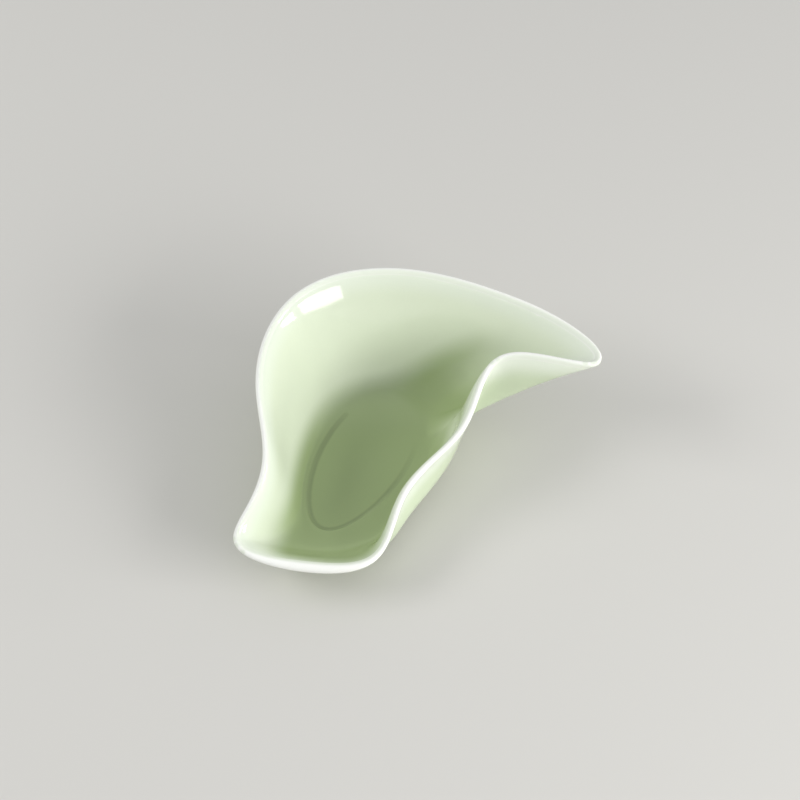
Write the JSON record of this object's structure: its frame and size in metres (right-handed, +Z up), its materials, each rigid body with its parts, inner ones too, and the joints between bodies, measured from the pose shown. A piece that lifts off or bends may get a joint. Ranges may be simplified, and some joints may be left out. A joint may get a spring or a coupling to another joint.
{
  "type": "tea scoop",
  "caption": "Free-form porcelain tea scoop with a curved bowl, a low pouring lip, a pointed folded handle, celadon glaze and a bare foot ring.",
  "frame": {"origin": "middle of the scoop's outline seen from above, at the level of the surface it stands on", "axes": "+X from the pouring lip to the handle, +Y to the high back wall, +Z up"},
  "size_m": [0.1258, 0.0828, 0.041],
  "materials": {
    "white_porcelain": "glossy where the glaze has run thin over the rim",
    "bare_foot": "matt, unglazed and ground flat",
    "celadon_inside": "high gloss, deeper green where it pools",
    "celadon_outside": "high gloss"
  },
  "bodies": {
    "root": {"porcelain_body": "white_porcelain", "foot_ring": "bare_foot", "inside_glaze": "celadon_inside", "outside_glaze": "celadon_outside", "base_glaze": "celadon_outside"}
  },
  "joints": []
}
